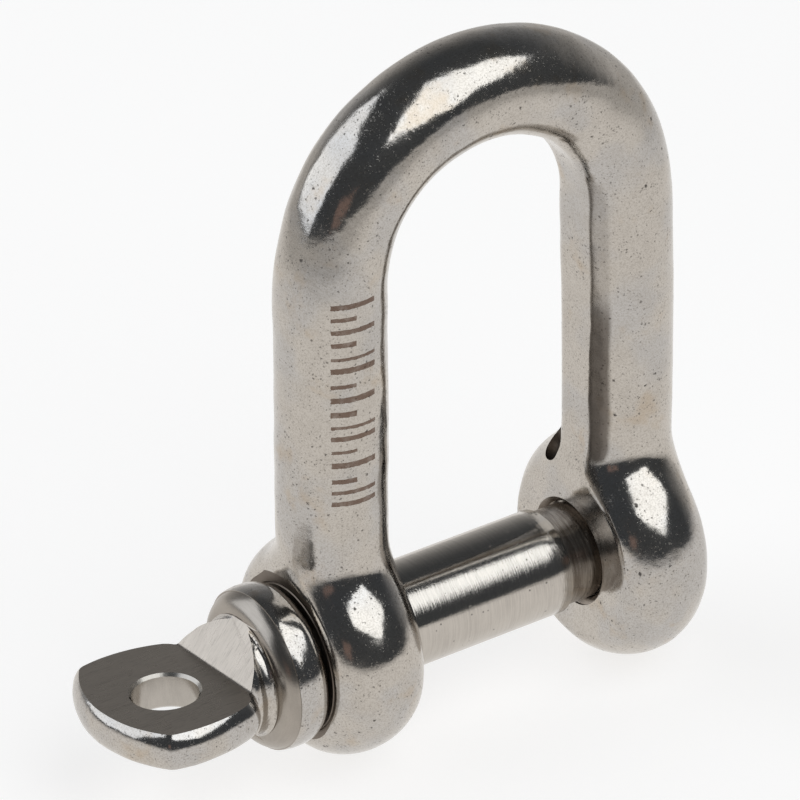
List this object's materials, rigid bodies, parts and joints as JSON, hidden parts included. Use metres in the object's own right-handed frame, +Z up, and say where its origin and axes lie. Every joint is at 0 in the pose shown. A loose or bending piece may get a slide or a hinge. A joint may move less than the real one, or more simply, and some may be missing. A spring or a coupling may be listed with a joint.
{
  "type": "screw pin dee shackle",
  "caption": "Dee shackle in cast steel: a U-shaped bow with two eyed ears, closed by a screw pin with a collar and a flattened, drilled eye.",
  "frame": {"origin": "on the pin's axis, midway between the two ears, where the fitting that holds the shackle sits on the pin", "axes": "+X along the pin from its eye to the threaded ear, +Z up to the crown, Y normal to the bow's plane"},
  "size_m": [0.0294, 0.0108, 0.0329],
  "materials": {
    "cast_steel": "tumbled and polished stainless casting",
    "turned_steel": "turned and polished stainless",
    "threaded_steel": "cut thread, satin"
  },
  "bodies": {
    "bow": {"bow": "cast_steel"},
    "pin_slider": {"pin_shank": "turned_steel"},
    "pin_screw": {"pin_head": "cast_steel", "pin_thread": "threaded_steel"}
  },
  "joints": [
    {"name": "pin_slide", "type": "slide", "parent": "bow", "child": "pin_slider", "axis": [-1, 0, 0], "range_m": [0, 0.02]},
    {"name": "pin_turn", "type": "hinge", "parent": "pin_slider", "child": "pin_screw", "pos_m": [0, 0, 0], "axis": [-1, 0, 0], "range_deg": [0, 9000]}
  ],
  "couplings": [
    {"joint": "pin_turn", "follows": "pin_slide", "rad_per_m": 7854}
  ]
}
